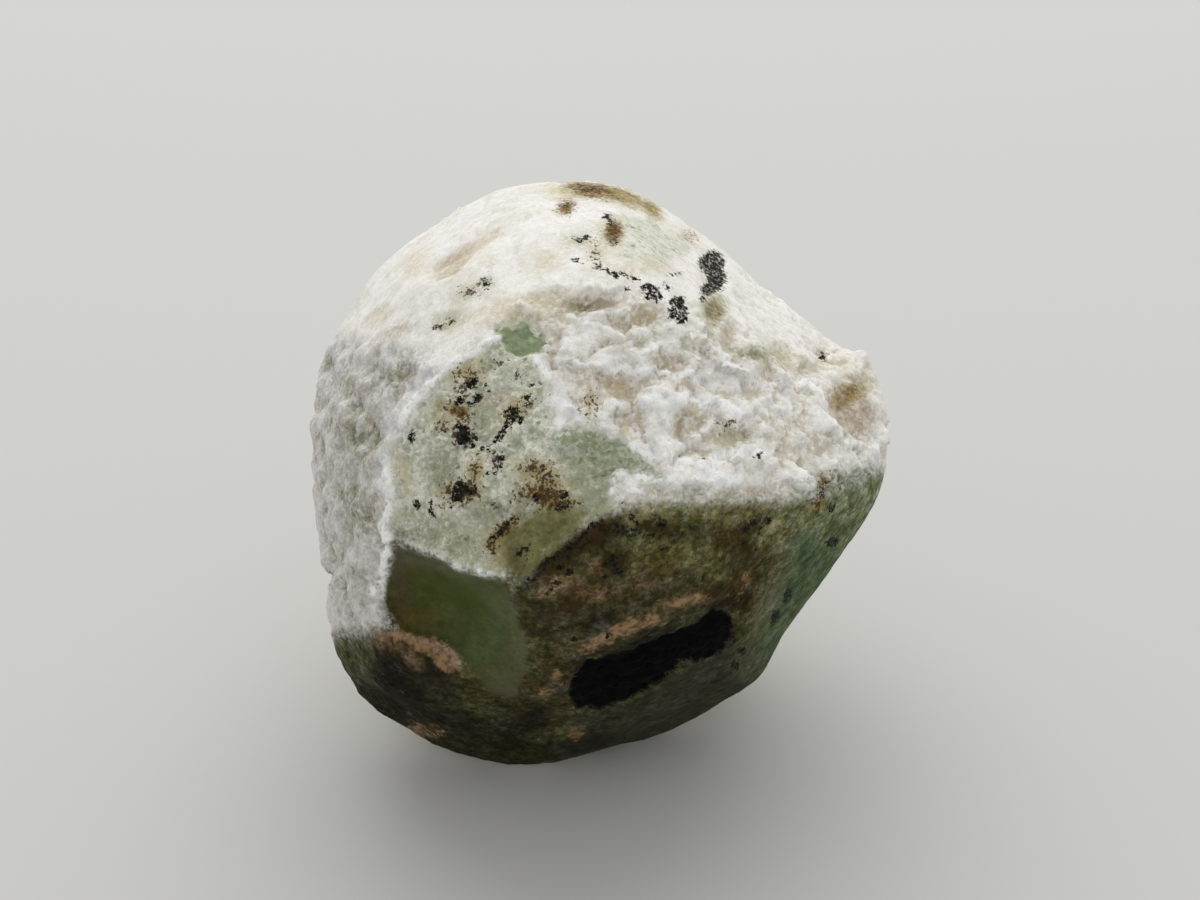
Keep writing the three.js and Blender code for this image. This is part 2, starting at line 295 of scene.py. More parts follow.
# How rough the chalky crust is, from 0 to 1, and where broken crystal shows instead of it.
CRUST_IN_SIGHT = 0.4
CRUST_UNSEEN = 0.6
CRUST_VARIES = 0.25
CRUST_PATCH_SIZE = 9
unseen_crust = CRUST_UNSEEN + CRUST_VARIES * grain(CRUST_PATCH_SIZE, drift=4.0)
crust = np.where(facing > 0, CRUST_IN_SIGHT, unseen_crust)
crystal = np.zeros(count)
for region, crust_here, crystal_here in (
    (dome, 0.16, 0.0),
    (shelf, 0.8, 0.0),
    (left_side, 0.45, 0.0),
    (knob_pocket, 0.45, 0.0),
    (bulge, 0.2, 0.2),
    (stained_face, 0.22, 0.3),
    (right_band, 0.05, 0.1),
    (lower_band, 0.1, 0.1),
    (front_face, 0.12, 1.0),
    (bare_patch, 0.0, 1.2),
    (crown_glaze, 0.1, 0.2),
):
    here = soft(region)
    crust = crust * (1 - here) + crust_here * here
    crystal = crystal * (1 - here) + crystal_here * here
crust *= 1 - window_share
crystal *= 1 - window_share

# On the sides not seen the crust has come off here and there, in patches of about this size.
BREAK_SIZE = 7.5
BREAK_SLOPE = 4
BREAK_RARITY = 1.6
BREAK_EDGE = 0.3
KEPT_UNSEEN = 6
CRUST_LOST = 0.8
CRYSTAL_BARED = 0.9
LIMB_BEHIND = (-0.3, 0.0)
unseen = 1 - ease(facing, *LIMB_BEHIND)
broken_off = grain(BREAK_SIZE, drift=31.0, octaves=2) * BREAK_SLOPE - BREAK_RARITY
broken_off = broken_off - KEPT_UNSEEN * (1 - unseen)
broken_share = soft(broken_off, BREAK_EDGE)
crust *= 1 - CRUST_LOST * broken_share
crystal = np.maximum(crystal, CRYSTAL_BARED * broken_share)

# White chalky crust: flat-floored hollows between lumpy rims, crumbling ledges and small pits. Each has its
# size and depth in mm, and some are drawn out along x, y and z.
FLOOR_SIZE = 2.1
FLOOR_STRETCH = (1.35, 1, 0.8)
FLOOR_CUT = (0.02, 0.26)
FLOOR_DEPTH = 0.16
LEDGE_SIZE = 1.6
LEDGE_STRETCH = (1.2, 1, 0.8)
LEDGE_DEPTH = 0.16
PIT_SIZE = 0.95
PIT_DEPTH = 0.14
CRUST_RISE = 0.12
floors = ease(grain(FLOOR_SIZE, FLOOR_STRETCH, 1.0, octaves=2), *FLOOR_CUT)
ledges = np.abs(grain(LEDGE_SIZE, LEDGE_STRETCH, 3.0, octaves=2))

# The large lumps are mostly on the broken shelf. The lesser ones, by size, height and drift, are everywhere.
# All are lower at the edge of the stone as the photograph shows it.
LARGE_LUMP = 2.4
LARGE_HEIGHT = 0.12
SHELF_HEIGHT = 0.22
LESSER_LUMPS = [(1.2, 0.34, 5.0), (0.6, 0.2, 7.0)]
CALMEST = 0.3
CALM_REACH = 0.35
large_height = LARGE_HEIGHT + SHELF_HEIGHT * soft(shelf, 1.0)
calm = CALMEST + (1 - CALMEST) * ease(np.abs(facing), 0.0, CALM_REACH)
lumps = large_height * crumbs(LARGE_LUMP, 3.0)
for size, height, drift in LESSER_LUMPS:
    lumps = lumps + height * crumbs(size, drift)
crust_relief = CRUST_RISE - FLOOR_DEPTH * floors - LEDGE_DEPTH * ledges - PIT_DEPTH * pits(PIT_SIZE, 9.0)
crust_relief = calm * (crust_relief + lumps)

# The left side and the pocket in the right knob are knobbly, as if worn, and the back is so too, but less.
KNOB_SIZE = 1.2
KNOB_HEIGHT = 0.38
KNOBBLY_EDGE = 0.8
KNOBBLY_UNSEEN = 0.6
knobbly_share = soft(np.maximum(left_side, knob_pocket), KNOBBLY_EDGE)
knobbly_share = np.maximum(knobbly_share, KNOBBLY_UNSEEN * unseen)
knobbly = KNOB_HEIGHT * knobbly_share * grain(KNOB_SIZE, drift=37.0)

# Broken crystal: small flat faces at all angles, by size and drift.
SWELL_SIZE = 1.8
SWELL_HEIGHT = 0.07
CRYSTAL_FACES = [(1.0, 17.0), (0.5, 19.0)]
FACE_HEIGHT = 0.26
BROKEN_DEPTH = 0.3
crystal_relief = SWELL_HEIGHT * grain(SWELL_SIZE, drift=15.0)
for size, drift in CRYSTAL_FACES:
    crystal_relief = crystal_relief + FACE_HEIGHT * crumbs(size, drift)
relief = crust * crust_relief + crystal * crystal_relief + knobbly - BROKEN_DEPTH * broken_share

# Bright rims where the skin or the glassy face breaks off, and ledges that cross the shelf: a line by pixel,
# height and half width in mm, and whiteness, which is white crust and painted highlight along the rim.
RIMS = [
    ([(497, 338), (472, 354), (448, 370), (428, 387), (412, 405), (402, 426)], 0.3, 0.24, 1.0),
    ([(386, 470), (391, 500), (386, 526), (390, 546), (384, 570), (374, 590)], 0.24, 0.4, 0.9),
    ([(390, 541), (415, 546), (430, 552), (448, 559), (458, 566), (480, 571), (504, 577)], 0.14, 0.3, 0.5),
    ([(618, 468), (622, 484), (630, 496), (660, 499), (700, 499), (760, 497), (810, 494)], 0.14, 0.45, 0.3),
    ([(810, 494), (840, 488), (862, 476)], 0.08, 0.5, 0.4),
    ([(612, 512), (592, 526), (574, 540), (546, 560), (526, 580)], 0.1, 0.3, 0.0),
    ([(590, 366), (620, 370), (660, 371), (700, 377), (736, 384)], 0.15, 0.4, 0.8),
    ([(556, 345), (580, 334), (604, 330), (628, 340), (656, 326), (690, 338)], 0.12, 0.4, 0.6),
    ([(664, 404), (690, 396), (716, 404), (740, 412)], 0.14, 0.45, 0.9),
    ([(660, 438), (684, 444), (700, 436), (712, 420)], 0.12, 0.3, 0.6),
    ([(636, 446), (664, 462), (700, 464), (736, 452), (770, 456)], 0.12, 0.5, 0.8),
    ([(640, 476), (690, 484), (740, 478), (800, 476)], 0.1, 0.5, 0.7),
    ([(740, 372), (770, 384), (806, 380), (822, 396), (818, 420), (846, 442), (868, 448)], 0.12, 0.4, 0.6),
    ([(540, 362), (556, 380), (566, 404), (558, 424)], 0.1, 0.4, 0.8),
    ([(612, 492), (618, 474), (632, 484), (640, 494)], 0.14, 0.3, 0.8),
]
LUMP_HIGHLIGHT_SHARE = 0.45
CREST_CUT = (0.1, 0.3)
RIM_PIECE = 0.9
RIM_MEAN = 0.8
RIM_VARIES = 0.8
RIM_DRIFT = 50
RIM_LIMB = (0.0, 0.2)
# Painted highlight: the crests of the lumps are painted white.
white_crest_and_highlight = LUMP_HIGHLIGHT_SHARE * crust * ease(lumps, *CREST_CUT)
for line, height, half_width, whiteness in RIMS:
    away = from_line(line) / half_width
    broken_up = RIM_MEAN + RIM_VARIES * grain(RIM_PIECE, drift=height * RIM_DRIFT)
    ridge = np.exp(-(away**2)) * ease(facing, *RIM_LIMB)
    relief += height * broken_up * ridge
    white_crest_and_highlight = np.maximum(white_crest_and_highlight, ridge * broken_up * whiteness)

# Hollows by pixel: middle, half length, half width, tilt, depth in mm, and how beige the floor is.
HOLLOWS = [
    (452, 262, 28, 10, 38, 0.35, 0.9), (486, 240, 20, 5, 38, 0.15, 0.5), (376, 318, 20, 10, 35, 0.2, 0.5),
    (446, 322, 14, 8, 30, 0.2, 0.5), (591, 303, 22, 9, 0, 0.4, 1.0), (545, 300, 22, 10, 10, 0.25, 0.7),
    (520, 318, 18, 8, 20, 0.25, 0.6), (642, 318, 24, 10, 10, 0.3, 0.9), (657, 330, 8, 7, 0, 0.25, 0.9),
    (578, 334, 13, 6, 0, 0.2, 0.6), (603, 324, 16, 5, 0, 0.2, 0.6), (634, 344, 14, 8, -10, 0.2, 0.5),
    (668, 362, 18, 8, -5, 0.35, 1.0), (700, 352, 20, 8, -20, 0.2, 0.7), (730, 334, 9, 10, 0, 0.25, 0.8),
    (728, 348, 7, 6, 0, 0.2, 0.6), (752, 355, 11, 7, 0, 0.25, 0.9), (782, 358, 16, 14, 0, 0.25, 0.8),
    (620, 388, 18, 12, -20, 0.3, 1.0), (644, 384, 8, 6, 0, 0.15, 0.5), (684, 386, 12, 8, 0, 0.25, 0.8),
    (722, 396, 12, 5, 0, 0.15, 0.5), (752, 394, 12, 6, 0, 0.2, 0.6), (630, 416, 22, 6, 5, 0.2, 0.6),
    (690, 424, 17, 13, 15, 0.35, 1.0), (734, 438, 26, 8, -5, 0.2, 0.7), (778, 420, 20, 8, 0, 0.15, 0.4),
    (800, 450, 24, 6, 5, 0.15, 0.4), (600, 404, 10, 12, 0, 0.15, 0.5), (575, 372, 14, 6, 10, 0.2, 0.5),
    (845, 394, 15, 11, 20, 0.12, 0.6), (862, 414, 9, 7, 0, 0.1, 0.6), (842, 420, 6, 5, 0, 0.25, 0.8),
    (829, 434, 5, 4, 0, 0.25, 0.9), (844, 437, 6, 4, 0, 0.25, 0.9), (822, 353, 6, 7, 0, 0.4, 0.8),
    (362, 366, 12, 6, 30, 0.2, 0.7), (350, 400, 9, 14, 0, 0.3, 0.8), (344, 440, 9, 16, 0, 0.35, 0.8),
    (368, 436, 9, 16, -10, 0.3, 0.8), (356, 478, 8, 12, 0, 0.3, 0.8), (378, 470, 7, 10, 0, 0.3, 0.7),
    (345, 520, 9, 10, 0, 0.3, 0.7), (370, 516, 8, 10, 0, 0.35, 0.8), (377, 558, 6, 6, 0, 0.3, 0.8),
    (354, 582, 14, 6, 5, 0.25, 0.8), (357, 554, 6, 5, 0, 0.2, 0.7), (372, 532, 8, 5, 0, 0.25, 0.7),
    (712, 276, 15, 24, 0, 0.2, 0.3), (714, 312, 12, 14, 0, 0.2, 0.9),
]
FLOOR_BEIGE = 0.3
DIP_SHADE_BEIGE = 0.8
DIP_CUT = (0.06, 0.3)
HOLLOW_RAGGED = 0.3
HOLLOW_SPREAD = 0.1
HOLLOW_WALL = (0.55, 1.15)
HOLLOW_LIMB = (0.0, 0.3)
HOLLOW_FLATTENS = 0.6
HOLLOW_DEPTH = 0.85
SIDE_LESS_BEIGE = 0.75
# Beige in the dips between lumps is painted shade; the flat floors and the listed hollows are beige.
beige = crust * np.maximum(FLOOR_BEIGE * floors, DIP_SHADE_BEIGE * ease(-lumps, *DIP_CUT))
for x, y, half_length, half_width, tilt, depth, colouring in HOLLOWS:
    away = from_spot(x, y, half_length, half_width, tilt) + HOLLOW_RAGGED * ledges - HOLLOW_SPREAD
    within = 1 - ease(away, *HOLLOW_WALL)
    within *= ease(facing, *HOLLOW_LIMB)
    relief = relief * (1 - HOLLOW_FLATTENS * within) - HOLLOW_DEPTH * depth * within
    beige = np.maximum(beige, colouring * within)
beige *= 1 - SIDE_LESS_BEIGE * soft(left_side, KNOBBLY_EDGE)

# A dark notch in the left edge of the outline: its pixel, half length and half width.
NOTCH = (329, 578, 9, 6)
NOTCH_DEPTH = 0.8
NOTCH_WALL = (0.3, 1.1)
NOTCH_LIMB = (-0.35, -0.1)
notch = (1 - ease(from_spot(*NOTCH), *NOTCH_WALL)) * ease(facing, *NOTCH_LIMB)
relief -= NOTCH_DEPTH * notch

# The black mineral sits a little below the skin around it, in fine grains.
SUNK_EDGE = 0.25
SUNK_DEPTH = 0.25
BLACK_GRAIN_SIZE = 0.6
BLACK_GRAIN_HEIGHT = 0.5
sunk = soft(black_patch, SUNK_EDGE)
relief += sunk * (BLACK_GRAIN_HEIGHT * crumbs(BLACK_GRAIN_SIZE, 23.0) - SUNK_DEPTH)
stone_place = place + relief[:, None] * outward

# The green window is scooped out behind the lip, straight away from the camera, so the lip stays sharp.
# Towards its lower right corner, by the sum of its pixel coordinates, it rises again to the stained face.
WINDOW_RISES = (1040, 1200)
STEP_DEPTH = 0.5
STEP_REACH = (0.0, 0.4)
SLOPE_DEPTH = 0.5
SLOPE_REACH = (0.3, 2.0)
rising = ease(pixel_x + pixel_y, *WINDOW_RISES)
scoop = STEP_DEPTH * ease(window, *STEP_REACH) + SLOPE_DEPTH * ease(window, *SLOPE_REACH)
scoop = scoop * (1 - rising)
stone_place -= scoop[:, None] * np.array(view_back)
stone_place[:, 2] = np.maximum(stone_place[:, 2], 0)

stone_mesh.vertices.foreach_set("co", (stone_place * MM).ravel())
stone_mesh.shade_smooth()
stone_mesh.update()


def linear(value):
    """The light given by a picture's value from 0 to 255, on the usual sRGB curve."""
    share = value / 255
    return share / 12.92 if share <= 0.04045 else ((share + 0.055) / 1.055) ** 2.4


def colour(red, green, blue):
    """A colour by a picture's values, for a socket or for the surface."""
    return (linear(red), linear(green), linear(blue), 1)


# Where the glassy datolite is bare, in mm inside its edge, with a few breaks on the sides not seen.
EYE_WIDER = 0.4
GLAZE_NARROWER = 0.5
bare = np.maximum.reduce([
    front_face, right_band, lower_band, window, eye + EYE_WIDER, crown_glaze - GLAZE_NARROWER, broken_off,
])

# How deep its green is, and how much it turns from mint to olive.
GREEN_ELSEWHERE = 0.2
OLIVE_ELSEWHERE = 0.55
green = np.full(count, GREEN_ELSEWHERE)
olive = np.full(count, OLIVE_ELSEWHERE)
for share, deep, yellow in (
    (soft(front_face), 0.12, 0.6),
    (soft(crown_glaze), 0.02, 0.2),
    (soft(bare_patch, 0.3), 0.62, 0.75),
    (soft(right_band), 0.5, 0.2),
    (soft(lower_band), 0.75, 0.9),
):
    green = green * (1 - share) + deep * share
    olive = olive * (1 - share) + yellow * share

# How glossy the surface is. The stained faces are duller.
GLOSS_EDGE = (-0.5, 0.3)
DULLED = 0.6
dull = soft(np.maximum.reduce([stained_face, right_band, lower_band]))
gloss = ease(bare, *GLOSS_EDGE) * (1 - DULLED * dull)
gloss = np.maximum(gloss, window_share)

# Stains and tints that pass softly into the stone, and painted shade and light: the lower faces are painted
# darker than their stains as painted shade. Each is a colour, its strength, the width of its edge in mm, and
# its
# spots by pixel: middle, half length, half width and tilt. Or it fills one outline.
CREAM = colour(220, 210, 184)
BEIGE = colour(190, 176, 152)
PINK_BEIGE = colour(186, 168, 150)
KNOB_OCHRE = colour(176, 152, 98)
OLIVE_CREAM = colour(188, 186, 158)
OLIVE_GREY = colour(166, 162, 134)
STRAW = colour(200, 188, 142)
YELLOW = colour(180, 164, 108)
OCHRE = colour(152, 124, 66)
GOLD = colour(168, 132, 54)
UMBER = colour(82, 68, 38)
DARK_UMBER = colour(50, 40, 20)
OCHRE_BROWN = colour(132, 106, 60)
MOSS = colour(142, 141, 96)
# Moss green of the stain, painted paler as painted light where the face rounds down under the ridge.
LIT_PALE_MOSS = colour(176, 177, 141)
# Dark moss green along the foot: moss stain painted darker as painted shade.
LOW_SHADE_MOSS = colour(54, 58, 30)
SLATE = colour(74, 70, 54)
# Near black: painted shade under the lower bulge and along the foot, and dark stain by the black patch.
CHARCOAL_SHADE = colour(34, 34, 25)
ASH = colour(112, 108, 82)
HAZE = colour(98, 98, 68)
PALE_MINT = colour(160, 172, 148)
BAND_PALE = colour(158, 168, 136)
# The right band's mint, as dark as it shows in shade: partly painted shade.
MINT = colour(88, 112, 80)
PINK_GREY = colour(174, 146, 124)
FOOT_GREY = colour(112, 116, 94)
MAUVE_GREY = colour(86, 78, 62)
PATCH_GREEN = colour(176, 182, 158)
FACE_SHADE = colour(168, 166, 140)
FACE_CLEAR = colour(160, 162, 138)
# Painted shade: a grey over the whole left side, and a darker grey for the dips between its knobs.
SHADED_SIDE_GREY = colour(206, 206, 208)
SIDE_SHADE = colour(182, 181, 176)
SIDE_DIP_SHADE = colour(188, 187, 186)
# Painted shade along the ridge where the shelf turns down to the stained face.
LIP_SHADE_GREY = colour(178, 170, 152)
TONGUE_GREEN = colour(132, 132, 84)
TONGUE_TIP = colour(88, 84, 44)
# Grounds of the lower faces and the bands: their stain and glass colours painted darker as painted shade.
STAINED_SHADED_GROUND = colour(98, 97, 70)
SHADED_BULGE_GROUND = colour(56, 54, 40)
SHADED_LOWER_GROUND = colour(68, 68, 52)
SHADED_BAND_GROUND = colour(94, 116, 82)
BAND_EDGE = colour(114, 117, 90)
SHADED_BAND_LOW = colour(80, 85, 56)
# The window's olive green, painted darker as painted shade under the lip.
SHADED_WINDOW_GREEN = colour(82, 90, 46)
WINDOW_FERN = colour(78, 94, 50)
# Brown painted shade under the lip, at the window's top and left edges.
WINDOW_SHADE_BROWN = colour(78, 68, 42)
WINDOW_AMBER = colour(92, 82, 30)
# Painted shade in the dips between the knobs of the left side.
DIP_LEVEL = 0.06
left_dip_shade = np.minimum(left_side, -knobbly - DIP_LEVEL)
WASHES = [
    (CREAM, 0.5, 0.6, [
        (520, 308, 50, 12, 14), (415, 264, 16, 8, 30), (484, 244, 20, 5, 38), (548, 262, 22, 8, 30),
        (600, 250, 12, 8), (690, 236, 10, 6, -40), (850, 368, 22, 8, -5), (812, 362, 14, 8),
        (640, 268, 30, 8, 10),
    ]),
    (BEIGE, 0.5, 0.4, [
        (591, 304, 22, 8), (642, 316, 24, 9, 10), (620, 388, 18, 11, -20), (690, 424, 18, 12, 15),
        (668, 362, 18, 8, -5), (452, 262, 22, 6, 38), (730, 334, 8, 10), (396, 330, 20, 7, 30),
    ]),
    (OLIVE_CREAM, 0.55, 0.5, [
        (714, 310, 14, 20), (766, 356, 28, 10, -8), (736, 438, 28, 7), (655, 330, 10, 6), (634, 342, 13, 7),
        (692, 341, 13, 8), (446, 322, 17, 8, 25), (540, 320, 16, 6, 20), (612, 236, 14, 9, -30),
        (860, 385, 12, 10), (474, 290, 13, 4, 30), (578, 240, 14, 6),
    ]),
    # Painted shade: the left side greyed, and its dips and hollows greyer.
    (SHADED_SIDE_GREY, 0.6, 1.5, left_side),
    (SIDE_DIP_SHADE, 0.45, 0.16, left_dip_shade),
    (SIDE_SHADE, 0.5, 0.9, [
        (352, 424, 12, 34), (370, 440, 9, 22, -10), (360, 512, 14, 20), (356, 582, 14, 6, 5),
        (400, 372, 26, 7, 42),
    ]),
    (FACE_SHADE, 0.55, 1.4, [(450, 540, 60, 24, -12), (560, 500, 40, 30, 30)]),
    (FACE_CLEAR, 0.7, 0.7, [(482, 412, 14, 24), (500, 510, 30, 12), (440, 470, 16, 20)]),
    (OLIVE_GREY, 0.7, 0.4, [(715, 310, 10, 14), (752, 356, 10, 6), (588, 306, 12, 5)]),
    (PATCH_GREEN, 0.25, 0.3, bare_patch),
    (TONGUE_GREEN, 0.95, 0.35, [
        (548, 528, 40, 20, 28), (552, 554, 24, 9, 38), (524, 556, 22, 18), (514, 542, 18, 20),
    ]),
    (TONGUE_TIP, 0.9, 0.6, [(522, 576, 14, 8), (508, 556, 8, 16, 20)]),
    (STRAW, 0.6, 0.5, [
        (612, 228, 11, 10, -40), (466, 372, 17, 9, 20), (448, 414, 16, 14), (476, 470, 9, 14),
        (536, 472, 24, 12, -15), (545, 488, 26, 15, -10), (462, 492, 20, 10, 10), (516, 408, 20, 9, 40),
        (590, 402, 6, 16), (403, 472, 4, 18, 20), (822, 496, 9, 22, -10), (500, 556, 10, 14),
        (494, 540, 10, 12), (566, 190, 20, 8, 5),
    ]),
    (YELLOW, 0.9, 0.35, [(622, 196, 30, 8, -20), (650, 208, 14, 7, -38)]),
    (OCHRE, 0.85, 0.3, [
        (588, 190, 20, 7, -14), (566, 207, 8, 6, 20), (614, 232, 8, 10, -20), (458, 410, 8, 5),
        (548, 498, 14, 7, -10), (819, 497, 5, 14, -12), (504, 530, 15, 4, 42),
    ]),
    (KNOB_OCHRE, 0.85, 0.7, [(846, 395, 18, 11, 20)]),
    (PINK_BEIGE, 0.6, 0.4, [
        (856, 416, 22, 12, -10), (596, 190, 8, 5, -20), (600, 378, 16, 7), (500, 398, 12, 5),
    ]),
    # Painted shade along the ridge above the stained face.
    (LIP_SHADE_GREY, 0.5, 0.6, [(720, 498, 92, 7), (660, 501, 34, 6), (838, 480, 34, 8, 12)]),
    # The lower faces and the bands: stain and glass colours painted darker as painted shade.
    (SHADED_BULGE_GROUND, 1.0, 0.8, bulge),
    (STAINED_SHADED_GROUND, 1.0, 0.8, stained_face),
    (SHADED_BAND_GROUND, 1.0, 1.1, right_band),
    (BAND_EDGE, 1.0, 0.7, [(796, 528, 10, 26, -25), (778, 572, 11, 34, -25), (757, 624, 10, 30, -20)]),
    (SHADED_LOWER_GROUND, 1.0, 0.6, lower_band),
    (FOOT_GREY, 0.8, 0.9, [(356, 656, 16, 22, 10), (372, 640, 18, 8, 10)]),
    (MAUVE_GREY, 0.6, 1.0, [(566, 616, 44, 26, 10), (630, 590, 44, 12, 10), (548, 670, 18, 24)]),
    (MOSS, 0.75, 0.6, [
        (676, 556, 46, 14, 4), (648, 546, 17, 11), (712, 568, 12, 14), (476, 700, 14, 10, -50),
        (466, 674, 14, 10, -40), (570, 733, 12, 8), (520, 590, 10, 8),
    ]),
    # Moss green painted pale as painted light just under the ridge, where the face turns down into shade.
    (LIT_PALE_MOSS, 0.85, 0.8, [(716, 512, 84, 9), (640, 514, 30, 8, 10), (776, 530, 14, 20, -30)]),
    (ASH, 0.7, 0.6, [
        (640, 572, 40, 8, 10), (748, 662, 12, 10, 20), (560, 640, 20, 16), (756, 610, 9, 30, -18),
        (340, 650, 6, 12), (768, 560, 10, 26, -20),
    ]),
    (PINK_GREY, 0.8, 0.4, [
        (556, 580, 24, 8, -10), (590, 596, 18, 7, 10), (600, 568, 12, 5), (646, 582, 15, 3, 10),
        (548, 592, 16, 5), (388, 644, 14, 8, -30), (546, 692, 7, 6), (500, 690, 6, 10),
        (690, 600, 22, 5, 10), (405, 655, 16, 8, -35),
    ]),
    (UMBER, 0.9, 0.5, [
        (739, 590, 12, 16, -15), (716, 590, 14, 8), (572, 606, 14, 5, 10), (592, 536, 24, 12, 30),
        (560, 562, 20, 8, 30), (735, 534, 20, 6, 18), (566, 680, 8, 7), (548, 660, 10, 12),
        (620, 560, 10, 11), (743, 545, 7, 10, -10), (660, 526, 10, 5),
    ]),
    (OCHRE_BROWN, 0.8, 0.4, [(735, 535, 14, 5, 20), (742, 578, 9, 7)]),
    (DARK_UMBER, 0.9, 0.35, [
        (575, 546, 26, 7, 38), (545, 568, 14, 5, 35), (600, 530, 16, 8, 25), (614, 566, 11, 10),
        (722, 604, 22, 6, 8), (742, 600, 8, 12),
    ]),
    (SLATE, 0.7, 0.6, [
        (600, 616, 24, 9, 15), (540, 722, 20, 16), (430, 700, 30, 13, -35), (552, 630, 14, 14),
        (560, 696, 14, 16),
    ]),
    # Near black: painted shade under the lower bulge and along the foot, and dark stain by the black patch.
    (CHARCOAL_SHADE, 0.95, 0.6, [
        (396, 672, 16, 26, 20), (404, 700, 26, 18), (530, 716, 22, 13, 20), (600, 650, 24, 5, 25),
        (430, 716, 34, 8, -20), (642, 642, 54, 9, 22), (575, 745, 44, 9, 8),
    ]),
    # Dark moss along the foot and under the black patch: moss stain painted darker as painted shade.
    (LOW_SHADE_MOSS, 0.95, 0.5, [
        (475, 744, 44, 12), (520, 756, 60, 9), (470, 690, 8, 14, 40), (722, 694, 30, 8, 28),
    ]),
    (BAND_PALE, 0.9, 0.8, [(832, 520, 38, 24, -25), (806, 512, 14, 8)]),
    (PALE_MINT, 1.0, 1.0, [(862, 490, 30, 17, -10), (838, 492, 28, 10)]),
    # The band's mint, as dark as it shows in shade, then its low end and the window's green painted darker as
    # painted shade.
    (MINT, 0.7, 0.7, [(812, 556, 16, 24, 50), (836, 530, 18, 14)]),
    (SHADED_BAND_LOW, 0.8, 0.7, [(752, 664, 18, 16, 20), (744, 640, 8, 14)]),
    (SHADED_WINDOW_GREEN, 1.0, 0.12, window),
    (WINDOW_FERN, 0.6, 0.7, [(490, 640, 24, 16, 30), (466, 600, 26, 22, -30)]),
    # Brown painted shade under the lip, at the window's top and left edges.
    (WINDOW_SHADE_BROWN, 0.85, 0.5, [(400, 582, 8, 40), (412, 556, 22, 7, -20), (396, 610, 12, 14)]),
    (WINDOW_AMBER, 0.85, 0.6, [(418, 618, 24, 11, -10)]),
    (HAZE, 0.9, 1.0, [
        (522, 612, 10, 30), (528, 656, 18, 34), (508, 690, 30, 20, 10), (484, 694, 16, 16, -40),
    ]),
    (SLATE, 0.6, 0.8, [(500, 698, 30, 12, 10)]),
    (GOLD, 0.9, 0.3, [(819, 496, 6, 14, -12)]),
    (FOOT_GREY, 0.35, 0.5, [(514, 616, 5, 14), (520, 650, 9, 9), (534, 662, 8, 6)]),
]
WASH_REACH = 0.15
LEAST_WASH = 0.001
wash = np.zeros((count, 4))
for shade, strength, edge_width, spots in WASHES:
    if isinstance(spots, list):
        depth = deepest(spots, WASH_REACH)
    else:
        depth = spots
    share = strength * soft(depth, edge_width)
    wash = wash * (1 - share[:, None]) + np.array(shade) * share[:, None]
wash[:, :3] /= np.maximum(wash[:, 3:], LEAST_WASH)

